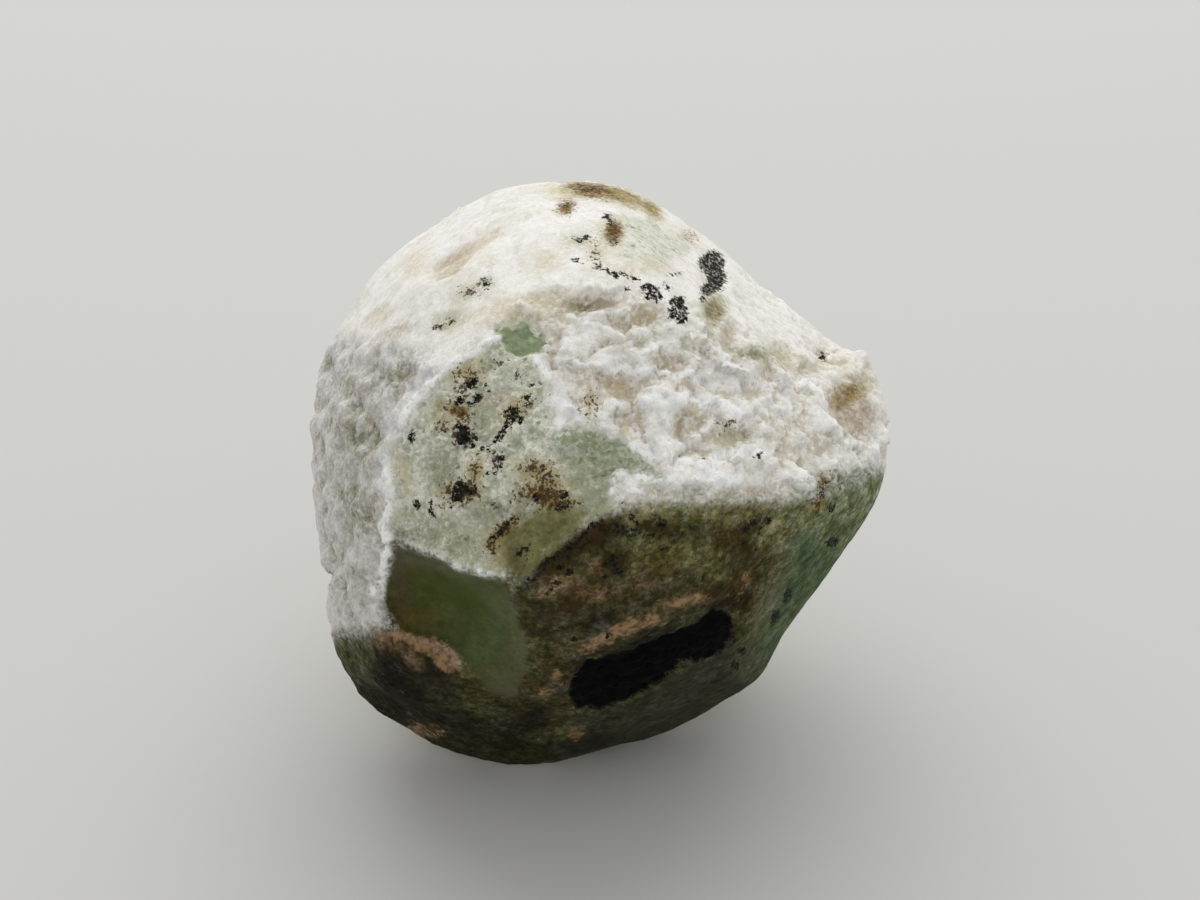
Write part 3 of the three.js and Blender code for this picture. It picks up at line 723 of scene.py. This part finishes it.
# Black mineral, in grains and strings.
BLACK_SPOTS = [
    (713, 262, 12, 11), (717, 276, 9, 14, 12), (704, 262, 6, 6), (710, 287, 9, 7, 30), (703, 298, 4, 4, 30),
    (678, 302, 7, 6), (682, 312, 6, 9), (672, 314, 5, 6), (674, 303, 6, 5, 30), (680, 320, 6, 4),
    (646, 288, 5, 4, 20), (653, 291, 7, 5, -30), (658, 297, 4, 4), (649, 296, 5, 4), (599, 266, 4, 3, -20),
    (607, 270, 5, 2, -25), (615, 274, 5, 3, -20), (622, 274, 4, 2), (630, 277, 4, 2, -30), (637, 280, 2, 2),
    (667, 286, 4, 2, -60), (675, 274, 4, 1, 5), (579, 240, 5, 3, -10), (587, 238, 3, 4), (606, 217, 3, 3),
    (610, 222, 2, 4), (615, 242, 3, 2), (577, 261, 4, 2, -25), (627, 289, 3, 2, -30), (824, 354, 4, 5),
    (329, 578, 6, 6), (438, 326, 4, 2, 20), (447, 321, 4, 2, 20), (485, 283, 3, 3), (470, 292, 2, 1),
    (471, 383, 7, 5), (478, 397, 5, 6, -30), (470, 403, 5, 4, 40), (460, 401, 5, 4, 50), (488, 388, 2, 4),
    (463, 436, 8, 9), (461, 427, 5, 4), (472, 446, 3, 4), (411, 438, 4, 7, -10), (514, 412, 8, 5),
    (520, 420, 3, 6), (507, 425, 8, 4, 40), (502, 433, 4, 6), (495, 440, 6, 3, 40), (478, 440, 2, 3),
    (483, 449, 4, 2), (488, 448, 2, 2), (527, 397, 4, 3, 20), (531, 385, 5, 1), (497, 462, 3, 4),
    (503, 458, 3, 3), (493, 474, 4, 2), (500, 468, 2, 2), (461, 489, 9, 8, 20), (457, 498, 6, 5),
    (473, 490, 6, 3, 10), (418, 504, 4, 5), (431, 503, 2, 3), (433, 511, 3, 5), (446, 508, 5, 2, -10),
    (561, 507, 10, 3, 5), (566, 496, 4, 5), (534, 497, 4, 4), (520, 554, 3, 3), (525, 549, 3, 2),
    (505, 527, 12, 3, 42), (516, 518, 3, 3), (494, 538, 5, 3, 50), (538, 512, 2, 2), (618, 527, 6, 3, -10),
    (628, 531, 7, 2, 5), (632, 518, 3, 6), (636, 524, 3, 3), (627, 504, 3, 1), (661, 525, 6, 4, 5),
    (664, 516, 3, 1), (640, 535, 14, 1), (547, 563, 9, 3, 38), (558, 556, 9, 3, 35), (571, 546, 9, 3, 42),
    (583, 535, 9, 3, 42), (595, 525, 8, 3, 30), (532, 578, 6, 3, 20), (560, 568, 5, 3), (568, 572, 4, 4),
    (556, 583, 6, 3), (551, 590, 4, 1, 45), (612, 560, 7, 6), (606, 565, 4, 4), (619, 572, 5, 3),
    (605, 577, 3, 4), (575, 640, 3, 3), (745, 530, 5, 3, 30), (753, 523, 5, 3, 20), (768, 520, 4, 3),
    (760, 530, 2, 3), (757, 549, 2, 3), (744, 543, 2, 2), (703, 577, 2, 3), (665, 548, 4, 1, 10),
    (608, 635, 3, 2), (819, 492, 2, 5), (832, 508, 2, 5, -20), (832, 542, 7, 5, 30), (788, 595, 4, 9, -20),
    (775, 617, 4, 8, -20), (742, 651, 4, 3), (735, 665, 4, 6), (752, 460, 3, 2), (620, 373, 2, 1),
    (705, 457, 2, 1), (728, 424, 1, 1),
]
MASS_SLOPE = 6
MASS_RAGGED = 0.2
MASS_TOOTH = 0.7
black_mass = MASS_SLOPE * (black_patch + MASS_RAGGED * grain(MASS_TOOTH, drift=43.0, octaves=2))
mineral = np.maximum(deepest(BLACK_SPOTS), black_mass)

# Brown iron stain in flecks around and between the black grains.
RUST_SPOTS = [
    (466, 374, 10, 5), (461, 389, 5, 9), (455, 409, 9, 5), (463, 416, 10, 8), (463, 434, 12, 12),
    (442, 428, 6, 6), (524, 408, 12, 4, 25), (516, 414, 12, 8, 30), (463, 492, 18, 12, 10),
    (447, 491, 6, 6), (545, 494, 22, 13, -8), (556, 502, 14, 8), (534, 468, 14, 7), (545, 478, 12, 6),
    (518, 494, 4, 8), (476, 468, 5, 9), (503, 528, 16, 5, 42), (492, 545, 6, 10), (522, 552, 7, 5),
    (517, 376, 3, 3), (592, 404, 4, 10), (585, 406, 4, 2), (819, 497, 5, 14, -12), (595, 253, 3, 6),
    (566, 207, 7, 5, 20), (590, 190, 14, 4, -15), (614, 230, 7, 8), (735, 534, 12, 5, 25),
    (746, 528, 14, 6, 25), (740, 584, 8, 12, -15), (714, 592, 8, 5), (574, 603, 12, 4, 10),
    (590, 536, 18, 8, 30), (560, 562, 18, 8, 30), (614, 564, 12, 10), (659, 524, 8, 5), (748, 556, 6, 12),
    (428, 731, 10, 4, -10), (743, 577, 6, 4), (485, 283, 5, 5), (470, 292, 6, 3), (494, 505, 4, 2, -20),
    (497, 461, 6, 8), (498, 362, 3, 2), (690, 236, 3, 2), (727, 424, 4, 2),
]
rust = deepest(RUST_SPOTS)

# Tan and pinkish crust.
TAN_PATCHES = [
    (402, 636, 14, 4, -10), (428, 646, 20, 9, -15), (448, 660, 15, 11, -40), (600, 641, 21, 6, 28),
    (628, 626, 22, 8, 20), (650, 620, 10, 6, 5), (676, 604, 14, 4, 15), (692, 599, 10, 4, 20),
    (424, 731, 16, 5, -12), (558, 674, 4, 5), (545, 692, 5, 4), (576, 734, 5, 5), (742, 584, 4, 8, -20),
]
tan = deepest(TAN_PATCHES)

# Black grains and rust on the sides not seen, in a few clusters.
CLUSTERS = 10
GRAINS_A_CLUSTER = 9
CLUSTER_SPREAD = 1.1
CLUSTER_SEED = 7
GRAIN_RANGE = (0.2, 0.6)
STAIN_SPREAD = 1.8
WELL_HIDDEN = -0.2
chance = np.random.default_rng(CLUSTER_SEED)
hidden_points = np.flatnonzero(facing < WELL_HIDDEN)
for _ in range(CLUSTERS):
    centre = stone_place[chance.choice(hidden_points)]
    for _ in range(GRAINS_A_CLUSTER):
        middle = centre + chance.normal(0, CLUSTER_SPREAD, 3)
        away = np.linalg.norm(stone_place - middle, axis=1)
        size = chance.uniform(*GRAIN_RANGE)
        mineral = np.maximum(mineral, size - away)
        rust = np.maximum(rust, size * STAIN_SPREAD - away)

# What the finish reads from the surface. Fine grain is strongest on crystal and crust. The window has none.
GRAIN_ELSEWHERE = 0.3
GRAIN_OF_CRUST = 0.6
fine_grain_share = GRAIN_ELSEWHERE + crystal + crust * GRAIN_OF_CRUST - window_share
for name, values in (
    ("bare", np.clip(bare, -3, 3)),
    ("green", green),
    ("olive", olive),
    ("mineral", np.clip(mineral, -2, 2)),
    ("rust", np.clip(rust, -2, 2)),
    ("tan", np.clip(tan, -2, 2)),
    ("beige", beige),
    ("white_crest_and_highlight", np.clip(white_crest_and_highlight, 0, 1)),
    ("gloss", gloss),
    ("eye", np.clip(eye, -2, 2)),
    ("crystal", np.clip(fine_grain_share, 0, 1)),
):
    attribute = stone_mesh.attributes.new(name, "FLOAT", "POINT")
    attribute.data.foreach_set("value", values.astype(np.float32))
attribute = stone_mesh.attributes.new("wash", "FLOAT_COLOR", "POINT")
attribute.data.foreach_set("color", wash.astype(np.float32).ravel())


def feed(tree, source, socket):
    """Links a socket to an input, or sets the input to a value."""
    if isinstance(source, bpy.types.NodeSocket):
        tree.links.new(source, socket)
    else:
        socket.default_value = source


def math_node(tree, operation, *sources, kind="ShaderNodeMath"):
    """A math node's result."""
    node = tree.nodes.new(kind)
    node.operation = operation
    for source, socket in zip(sources, node.inputs):
        feed(tree, source, socket)
    return node.outputs[0]


def vector_node(tree, operation, *sources):
    """A vector math node's result."""
    return math_node(tree, operation, *sources, kind="ShaderNodeVectorMath")


def between(tree, value, low, high, to_low=0.0, to_high=1.0, kind="SMOOTHSTEP"):
    """A value taken from one range to another."""
    node = tree.nodes.new("ShaderNodeMapRange")
    node.interpolation_type = kind
    for source, socket in zip((value, low, high, to_low, to_high), node.inputs):
        feed(tree, source, socket)
    return node.outputs[0]


def new_group(name, inputs, output, output_type="NodeSocketFloat"):
    """An empty shader group with its sockets."""
    group = bpy.data.node_groups.new(name, "ShaderNodeTree")
    for title in inputs:
        group.interface.new_socket(title, in_out="INPUT", socket_type="NodeSocketFloat")
    group.interface.new_socket(output, in_out="OUTPUT", socket_type=output_type)
    given = group.nodes.new("NodeGroupInput").outputs
    made = group.nodes.new("NodeGroupOutput").inputs[output]
    return group, given, made


def use_group(tree, group, **values):
    """The output of a group placed in a material, with its inputs by name."""
    node = tree.nodes.new("ShaderNodeGroup")
    node.node_tree = group
    for title, source in values.items():
        feed(tree, source, node.inputs[title])
    return node.outputs[0]


DRIFT_UNIT = 0.05


def drifted_place(tree, drift):
    """The place on the object, moved so that each use of a pattern has its own."""
    object_place = tree.nodes.new("ShaderNodeTexCoord").outputs["Object"]
    return vector_node(tree, "ADD", object_place, math_node(tree, "MULTIPLY", drift, DRIFT_UNIT))


def natural_noise(tree, size, detail, roughness=0.6, drift=0.0):
    """Noise of a size in mm, from 0 to 1."""
    node = tree.nodes.new("ShaderNodeTexNoise")
    feed(tree, drifted_place(tree, drift), node.inputs["Vector"])
    feed(tree, math_node(tree, "DIVIDE", 1 / MM, size), node.inputs["Scale"])
    feed(tree, detail, node.inputs["Detail"])
    feed(tree, roughness, node.inputs["Roughness"])
    return node.outputs["Fac"]


def grain_cells(tree, size, drift):
    """The outputs of a pattern of cells of a size in mm."""
    node = tree.nodes.new("ShaderNodeTexVoronoi")
    feed(tree, drifted_place(tree, drift), node.inputs["Vector"])
    feed(tree, math_node(tree, "DIVIDE", 1 / MM, size), node.inputs["Scale"])
    return node.outputs


def kept_cells(tree, cell, amount):
    """1 in that share of the cells and 0 in the rest."""
    split = tree.nodes.new("ShaderNodeSeparateColor")
    feed(tree, cell["Color"], split.inputs[0])
    return math_node(tree, "LESS_THAN", split.outputs[0], amount)


CLOUD_DETAIL = 3.0
CLOUD_ROUGHNESS = 0.65
MIDDLE = 0.5

# Every stain, grain and patch on the stone has a ragged edge: its depth inside the edge, in mm, is pushed to
# and fro by fine noise and then cut.
ragged, given, made = new_group("ragged_edge", ["Depth", "Size", "Raggedness", "Softness", "Drift"], "Share")
wander = natural_noise(ragged, given["Size"], CLOUD_DETAIL, CLOUD_ROUGHNESS, given["Drift"])
wander = math_node(ragged, "MULTIPLY", math_node(ragged, "SUBTRACT", wander, MIDDLE), given["Raggedness"])
wander = math_node(ragged, "ADD", wander, given["Depth"])
cut_from = math_node(ragged, "MULTIPLY", given["Softness"], -1.0)
feed(ragged, between(ragged, wander, cut_from, given["Softness"]), made)

# Mottling is cloudy patches of a size in mm, from 0 to 1.
mottling, given, made = new_group("mottling", ["Size", "Low", "High", "Drift"], "Share")
clouds = natural_noise(mottling, given["Size"], CLOUD_DETAIL, CLOUD_ROUGHNESS, given["Drift"])
feed(mottling, between(mottling, clouds, given["Low"], given["High"]), made)

# Specks are small round grains, of which only a share are there.
SPECK_OUTSIDE = 0.42
SPECK_INSIDE = 0.26
specks, given, made = new_group("specks", ["Size", "Amount", "Drift"], "Share")
cell = grain_cells(specks, given["Size"], given["Drift"])
disc = between(specks, cell["Distance"], SPECK_OUTSIDE, SPECK_INSIDE)
feed(specks, math_node(specks, "MULTIPLY", kept_cells(specks, cell, given["Amount"]), disc), made)

# Flakes are angular chips of crystal, of which only a share are there.
flakes, given, made = new_group("flakes", ["Size", "Amount", "Drift"], "Share")
cell = grain_cells(flakes, given["Size"], given["Drift"])
feed(flakes, kept_cells(flakes, cell, given["Amount"]), made)

# Facets tilt the surface a little, each small cell its own way, as broken crystal does.
facets, given, made = new_group("facets", ["Size", "Tilt", "Drift"], "Normal", "NodeSocketVector")
cell = grain_cells(facets, given["Size"], given["Drift"])
tilt = vector_node(facets, "SUBTRACT", cell["Color"], (MIDDLE,) * 3)
tilt = vector_node(facets, "MULTIPLY", tilt, given["Tilt"])
plain_normal = facets.nodes.new("ShaderNodeNewGeometry").outputs["Normal"]
feed(facets, vector_node(facets, "NORMALIZE", vector_node(facets, "ADD", plain_normal, tilt)), made)

# The finish is white chalk with beige hollows, pale green glass with white crushed grains, brown and black
# mineral stains and tan crust. Painted shade darkens fine grain, pits and dips; painted highlight whitens
# crests and glints.
CHALK_WHITE = colour(243, 243, 240)
CHALK_GREY = colour(232, 229, 220)
# Bright grains on the chalk: white crystal, partly painted glints.
CHALK_BRIGHT = colour(251, 251, 248)
# Beige of the hollow floors, also painted shade in the dips between lumps.
CHALK_BEIGE = colour(204, 192, 168)
# Darkens fine grain and small pits as painted shade.
CHALK_SHADOW = colour(196, 190, 176)
CLOUDY_GLASS = colour(216, 217, 200)
MINT_GLASS = colour(160, 178, 152)
OLIVE_GLASS = colour(172, 178, 146)
DEEP_MINT = colour(84, 104, 80)
DEEP_OLIVE = colour(66, 74, 42)
GLASS_WHITE = colour(238, 238, 228)
# White of crests and rims: partly white crust, partly painted highlight.
CREST_WHITE_AND_HIGHLIGHT = colour(253, 254, 253)
EYE_GREEN = colour(156, 168, 134)
EYE_SHADE = colour(138, 150, 116)
INCLUSION = colour(104, 98, 70)
TAN_LIGHT = colour(176, 144, 109)
TAN_DARK = colour(112, 86, 58)
RUST_LIGHT = colour(132, 100, 42)
RUST_DARK = colour(64, 44, 14)
# Rust in the shade of the lower faces: a shaded copy, as painted shade.
RUST_SHADED = colour(60, 48, 22)
BLACK_GRAIN = colour(16, 18, 16)
GREY_GRAIN = colour(50, 48, 40)
BLACK_MASS = colour(4, 5, 5)
WASH_DUSK = colour(176, 174, 170)
WASH_UMBER = colour(208, 198, 172)
WASH_MOSS = colour(202, 210, 176)
# Lightens the wash in small flakes: painted glints.
WASH_GLINT = (1.7, 1.6, 1.5, 1)
STONE_SHINE = 0.12
STONE_TRANSLUCENCE = 0.35
LIGHT_SPREAD_BY_COLOUR = (1.0, 1.0, 0.8)
LIGHT_SPREAD = 0.6 * MM

stone_material = bpy.data.materials.new("datolite")
stone_material.use_nodes = True
tree = stone_material.node_tree
shader = tree.nodes["Principled BSDF"]
shader.inputs["Specular IOR Level"].default_value = STONE_SHINE
shader.inputs["Subsurface Weight"].default_value = STONE_TRANSLUCENCE
shader.inputs["Subsurface Radius"].default_value = LIGHT_SPREAD_BY_COLOUR
shader.inputs["Subsurface Scale"].default_value = LIGHT_SPREAD


# Where a colour mix node has its two colours and its result.
FIRST_COLOUR = 6
SECOND_COLOUR = 7
MIXED_COLOUR = 2


def blend_colours(share, first, second, kind="MIX"):
    """One colour passing into another by a share."""
    node = tree.nodes.new("ShaderNodeMix")
    node.data_type = "RGBA"
    node.blend_type = kind
    feed(tree, share, node.inputs["Factor"])
    feed(tree, first, node.inputs[FIRST_COLOUR])
    feed(tree, second, node.inputs[SECOND_COLOUR])
    return node.outputs[MIXED_COLOUR]


def stored(title, output="Fac"):
    """A value stored on the stone's surface."""
    node = tree.nodes.new("ShaderNodeAttribute")
    node.attribute_name = title
    return node.outputs[output]


def edge(title, size, raggedness, softness, drift=0.0, push=0.0):
    """A stored depth cut with a ragged edge."""
    depth = math_node(tree, "ADD", stored(title), push)
    given = {"Depth": depth, "Size": size, "Raggedness": raggedness, "Softness": softness, "Drift": drift}
    return use_group(tree, ragged, **given)


def mottle(size, low, high, drift=0.0):
    """Cloudy patches of that size in mm."""
    return use_group(tree, mottling, Size=size, Low=low, High=high, Drift=drift)


def times(*shares):
    """Several shares multiplied."""
    result = shares[0]
    for share in shares[1:]:
        result = math_node(tree, "MULTIPLY", result, share)
    return result


def less(share):
    """What a share leaves of the whole."""
    return math_node(tree, "SUBTRACT", 1.0, share)


# From here on, mottle takes a size in mm, two cuts of its noise and a drift. edge takes a size, a raggedness
# and a softness in mm, a drift and a push. The last number given to times is a strength.
chalk = blend_colours(mottle(2.2, 0.4, 0.62, 1.0), CHALK_WHITE, CHALK_GREY)
# Beige in the hollows, and in the dips as painted shade.
beige_share = math_node(tree, "ADD", stored("beige"), times(mottle(0.9, 0.45, 0.7, 2.0), 0.22))
beige_share = times(beige_share, mottle(0.5, 0.2, 0.55, 2.5), 1.2)
chalk = blend_colours(beige_share, chalk, CHALK_BEIGE)
# Fine mottled painted shade, then painted shade in small pits.
chalk = blend_colours(times(mottle(0.2, 0.45, 0.65, 3.0), 0.2), chalk, CHALK_SHADOW, "MULTIPLY")
pit_shade = times(use_group(tree, specks, Size=0.5, Amount=0.3, Drift=3.2), stored("crystal"), 0.35)
chalk = blend_colours(pit_shade, chalk, CHALK_SHADOW, "MULTIPLY")
# Bright sugar grains: white crystal, and partly painted glints.
sugar_grains_and_glints = times(use_group(tree, flakes, Size=0.24, Amount=0.3, Drift=3.4), stored("crystal"), 0.7)
chalk = blend_colours(sugar_grains_and_glints, chalk, CHALK_BRIGHT)

pale_glass = blend_colours(stored("olive"), MINT_GLASS, OLIVE_GLASS)
deep_glass = blend_colours(stored("olive"), DEEP_MINT, DEEP_OLIVE)
cloudiness = between(tree, mottle(1.1, 0.35, 0.65, 3.5), 0, 1, -0.1, 0.2, "LINEAR")
depth_of_green = math_node(tree, "ADD", stored("green"), times(cloudiness, less(stored("green"))))
glass = blend_colours(between(tree, depth_of_green, 0.0, 0.5), CLOUDY_GLASS, pale_glass)
glass = blend_colours(between(tree, depth_of_green, 0.5, 1.0), glass, deep_glass)
shallow = between(tree, stored("green"), 0.3, 0.95, 1.0, 0.12)
crushed = times(mottle(0.6, 0.52, 0.6, 4.0), mottle(2.0, 0.35, 0.6, 5.0), shallow, 0.75)
# White sugar grains on the glass: white crystal, and partly painted glints.
sugar_and_glints = times(use_group(tree, flakes, Size=0.24, Amount=0.24, Drift=6.0), shallow, 0.7)
chips = times(use_group(tree, flakes, Size=0.5, Amount=0.16, Drift=6.2), shallow, 0.6)
inclusions = times(use_group(tree, specks, Size=0.42, Amount=0.08, Drift=6.4), 0.6)
for share, shade in (
    (crushed, GLASS_WHITE),
    (sugar_and_glints, GLASS_WHITE),
    (chips, GLASS_WHITE),
    (inclusions, INCLUSION),
):
    glass = blend_colours(share, glass, shade)
# Fine mottled painted shade on the glass.
glass = blend_colours(times(mottle(0.22, 0.48, 0.62, 6.5), 0.4), glass, CHALK_SHADOW, "MULTIPLY")

bare_share = edge("bare", 1.2, 1.8, 0.3)
stone_colour = blend_colours(bare_share, chalk, glass)

wash_strength = stored("wash", "Alpha")


def swing(size, low, high, drift, amount):
    """Cloudy patches that raise or lower a share, most where the wash is thin."""
    centred = math_node(tree, "SUBTRACT", mottle(size, low, high, drift), MIDDLE)
    return times(centred, less(wash_strength), amount)


patchy = math_node(tree, "ADD", swing(0.7, 0.3, 0.65, 7.0, 1.6), swing(0.25, 0.35, 0.6, 7.5, 1.8))
wash_share = math_node(tree, "ADD", wash_strength, times(patchy, wash_strength))
smooth_wash = between(tree, stored("gloss"), 0.3, 1.0, 1.0, 0.35)
smooth_wash = times(smooth_wash, between(tree, wash_strength, 0.5, 1.0, 0.15, 1.0))
wash_colour = stored("wash", "Color")
for drift, (size, share, shade) in enumerate(
    ((1.8, 0.9, WASH_UMBER), (1.1, 0.9, WASH_MOSS), (0.5, 0.8, WASH_DUSK), (0.22, 0.8, WASH_UMBER))
):
    patches = times(mottle(size, 0.44, 0.58, 20.0 + drift), smooth_wash, share)
    wash_colour = blend_colours(patches, wash_colour, shade, "MULTIPLY")
# Painted glints: small flakes that lighten the wash.
glints = times(use_group(tree, flakes, Size=0.3, Amount=0.25, Drift=24.0), smooth_wash, 0.6)
wash_colour = blend_colours(glints, wash_colour, WASH_GLINT, "MULTIPLY")
eye_colour = blend_colours(mottle(0.9, 0.42, 0.6, 6.6), EYE_GREEN, EYE_SHADE)
eye_share = edge("eye", 0.35, 0.5, 0.05, 6.7)
# Crests and rims painted white: partly white crust, partly painted highlight.
crest_and_highlight = between(tree, times(stored("white_crest_and_highlight"), mottle(0.35, 0.25, 0.6, 6.8)), 0.0, 0.7)

tan_share = times(edge("tan", 0.6, 1.4, 0.2, 8.0), 0.75)
tan_colour = blend_colours(mottle(0.5, 0.42, 0.66, 8.5), TAN_LIGHT, TAN_DARK)
rust_veil = times(edge("rust", 0.6, 1.6, 0.4, 9.0), 0.25)
rust_flecks = times(edge("rust", 0.26, 3.4, 0.1, 10.0, -0.15), 0.9)
rust_colour = blend_colours(mottle(0.25, 0.36, 0.52, 10.5), RUST_LIGHT, RUST_DARK)
# Where the wash is full, mostly on the lower faces, the rust takes its shaded copy: painted shade.
rust_colour = blend_colours(between(tree, wash_strength, 0.9, 1.0), rust_colour, RUST_SHADED)
mineral_deep = between(tree, stored("mineral"), 0.6, 0.9)
gaps = times(mottle(0.2, 0.56, 0.62, 11.5), less(mineral_deep), 0.75)
mineral_share = times(edge("mineral", 0.26, 0.95, 0.05, 11.0), less(gaps))
mineral_colour = blend_colours(mottle(0.24, 0.44, 0.6, 11.7), BLACK_GRAIN, GREY_GRAIN)
mineral_colour = blend_colours(mineral_deep, mineral_colour, BLACK_MASS)
for share, shade in (
    (wash_share, wash_colour),
    (eye_share, eye_colour),
    (crest_and_highlight, CREST_WHITE_AND_HIGHLIGHT),
    (tan_share, tan_colour),
    (rust_veil, rust_colour),
    (rust_flecks, rust_colour),
    (mineral_share, mineral_colour),
):
    stone_colour = blend_colours(share, stone_colour, shade)
feed(tree, stone_colour, shader.inputs["Base Color"])

CHALK_ROUGHNESS = 0.88
GLASS_ROUGHNESS = 0.34
roughness = between(tree, stored("gloss"), 0, 1, CHALK_ROUGHNESS, GLASS_ROUGHNESS, "LINEAR")
roughness = math_node(tree, "MAXIMUM", roughness, mineral_share)
feed(tree, roughness, shader.inputs["Roughness"])

GLASS_TILT = 0.4
CHALK_TILT = 0.3
BUMP_STRENGTH = 0.6
BUMP_HEIGHT = 0.22 * MM
facet_tilt = between(tree, less(stored("gloss")), 0, 1, GLASS_TILT, CHALK_TILT, "LINEAR")
facet_tilt = times(facet_tilt, stored("crystal"))
facet_normal = use_group(tree, facets, Size=0.42, Tilt=facet_tilt, Drift=14.0)
fine_grain = natural_noise(tree, 0.16, 3.0, 0.6, 12.0)
coarse_grain = natural_noise(tree, 0.5, 2.0, 0.5, 13.0)
grain_height = times(math_node(tree, "ADD", fine_grain, coarse_grain), stored("crystal"))
bump = tree.nodes.new("ShaderNodeBump")
bump.inputs["Strength"].default_value = BUMP_STRENGTH
bump.inputs["Distance"].default_value = BUMP_HEIGHT
feed(tree, grain_height, bump.inputs["Height"])
feed(tree, facet_normal, bump.inputs["Normal"])
feed(tree, bump.outputs["Normal"], shader.inputs["Normal"])
stone_mesh.materials.append(stone_material)

stone = bpy.data.objects.new("datolite_stone", stone_mesh)
add_to_scene(stone)
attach(stone, "root")
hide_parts("datolite_nodule")

# The floor is a plain pale sheet and no part of the object. The light is one large soft round lamp above the
# stone and behind it, so that its top is bright and its front in shade, with an even glow from all round.
FLOOR_HALF = 1.5
FLOOR_GREY = colour(204, 204, 201)
FLOOR_ROUGHNESS = 0.8
floor_mesh = bpy.data.meshes.new("floor")
floor_corners = [(-1, -1), (1, -1), (1, 1), (-1, 1)]
floor_mesh.from_pydata([(x * FLOOR_HALF, y * FLOOR_HALF, 0) for x, y in floor_corners], [], [(0, 1, 2, 3)])
floor = bpy.data.objects.new("floor", floor_mesh)
add_to_scene(floor)
floor_material = bpy.data.materials.new("pale_floor")
floor_material.use_nodes = True
floor_shader = floor_material.node_tree.nodes["Principled BSDF"]
floor_shader.inputs["Base Color"].default_value = FLOOR_GREY
floor_shader.inputs["Roughness"].default_value = FLOOR_ROUGHNESS
floor_mesh.materials.append(floor_material)

LAMP_DIRECTION = Vector((0.0, 0.6, 0.8)).normalized()
LAMP_DISTANCE = 0.5
LAMP_WIDTH = 0.7
LAMP_WATTS = 1.5
lamp_data = bpy.data.lights.new("key", "AREA")
lamp_data.shape = "DISK"
lamp_data.size = LAMP_WIDTH
lamp_data.energy = LAMP_WATTS
lamp = bpy.data.objects.new("key", lamp_data)
lamp.location = LAMP_DIRECTION * LAMP_DISTANCE
lamp.rotation_euler = LAMP_DIRECTION.to_track_quat("Z", "Y").to_euler()
add_to_scene(lamp)

GLOW_COLOUR = (1.0, 0.995, 0.985, 1)
GLOW_STRENGTH = 0.67
world = bpy.data.worlds.new("glow")
world.use_nodes = True
glow = world.node_tree.nodes["Background"]
glow.inputs["Color"].default_value = GLOW_COLOUR
glow.inputs["Strength"].default_value = GLOW_STRENGTH
bpy.context.scene.world = world
bpy.context.scene.view_settings.view_transform = "Standard"
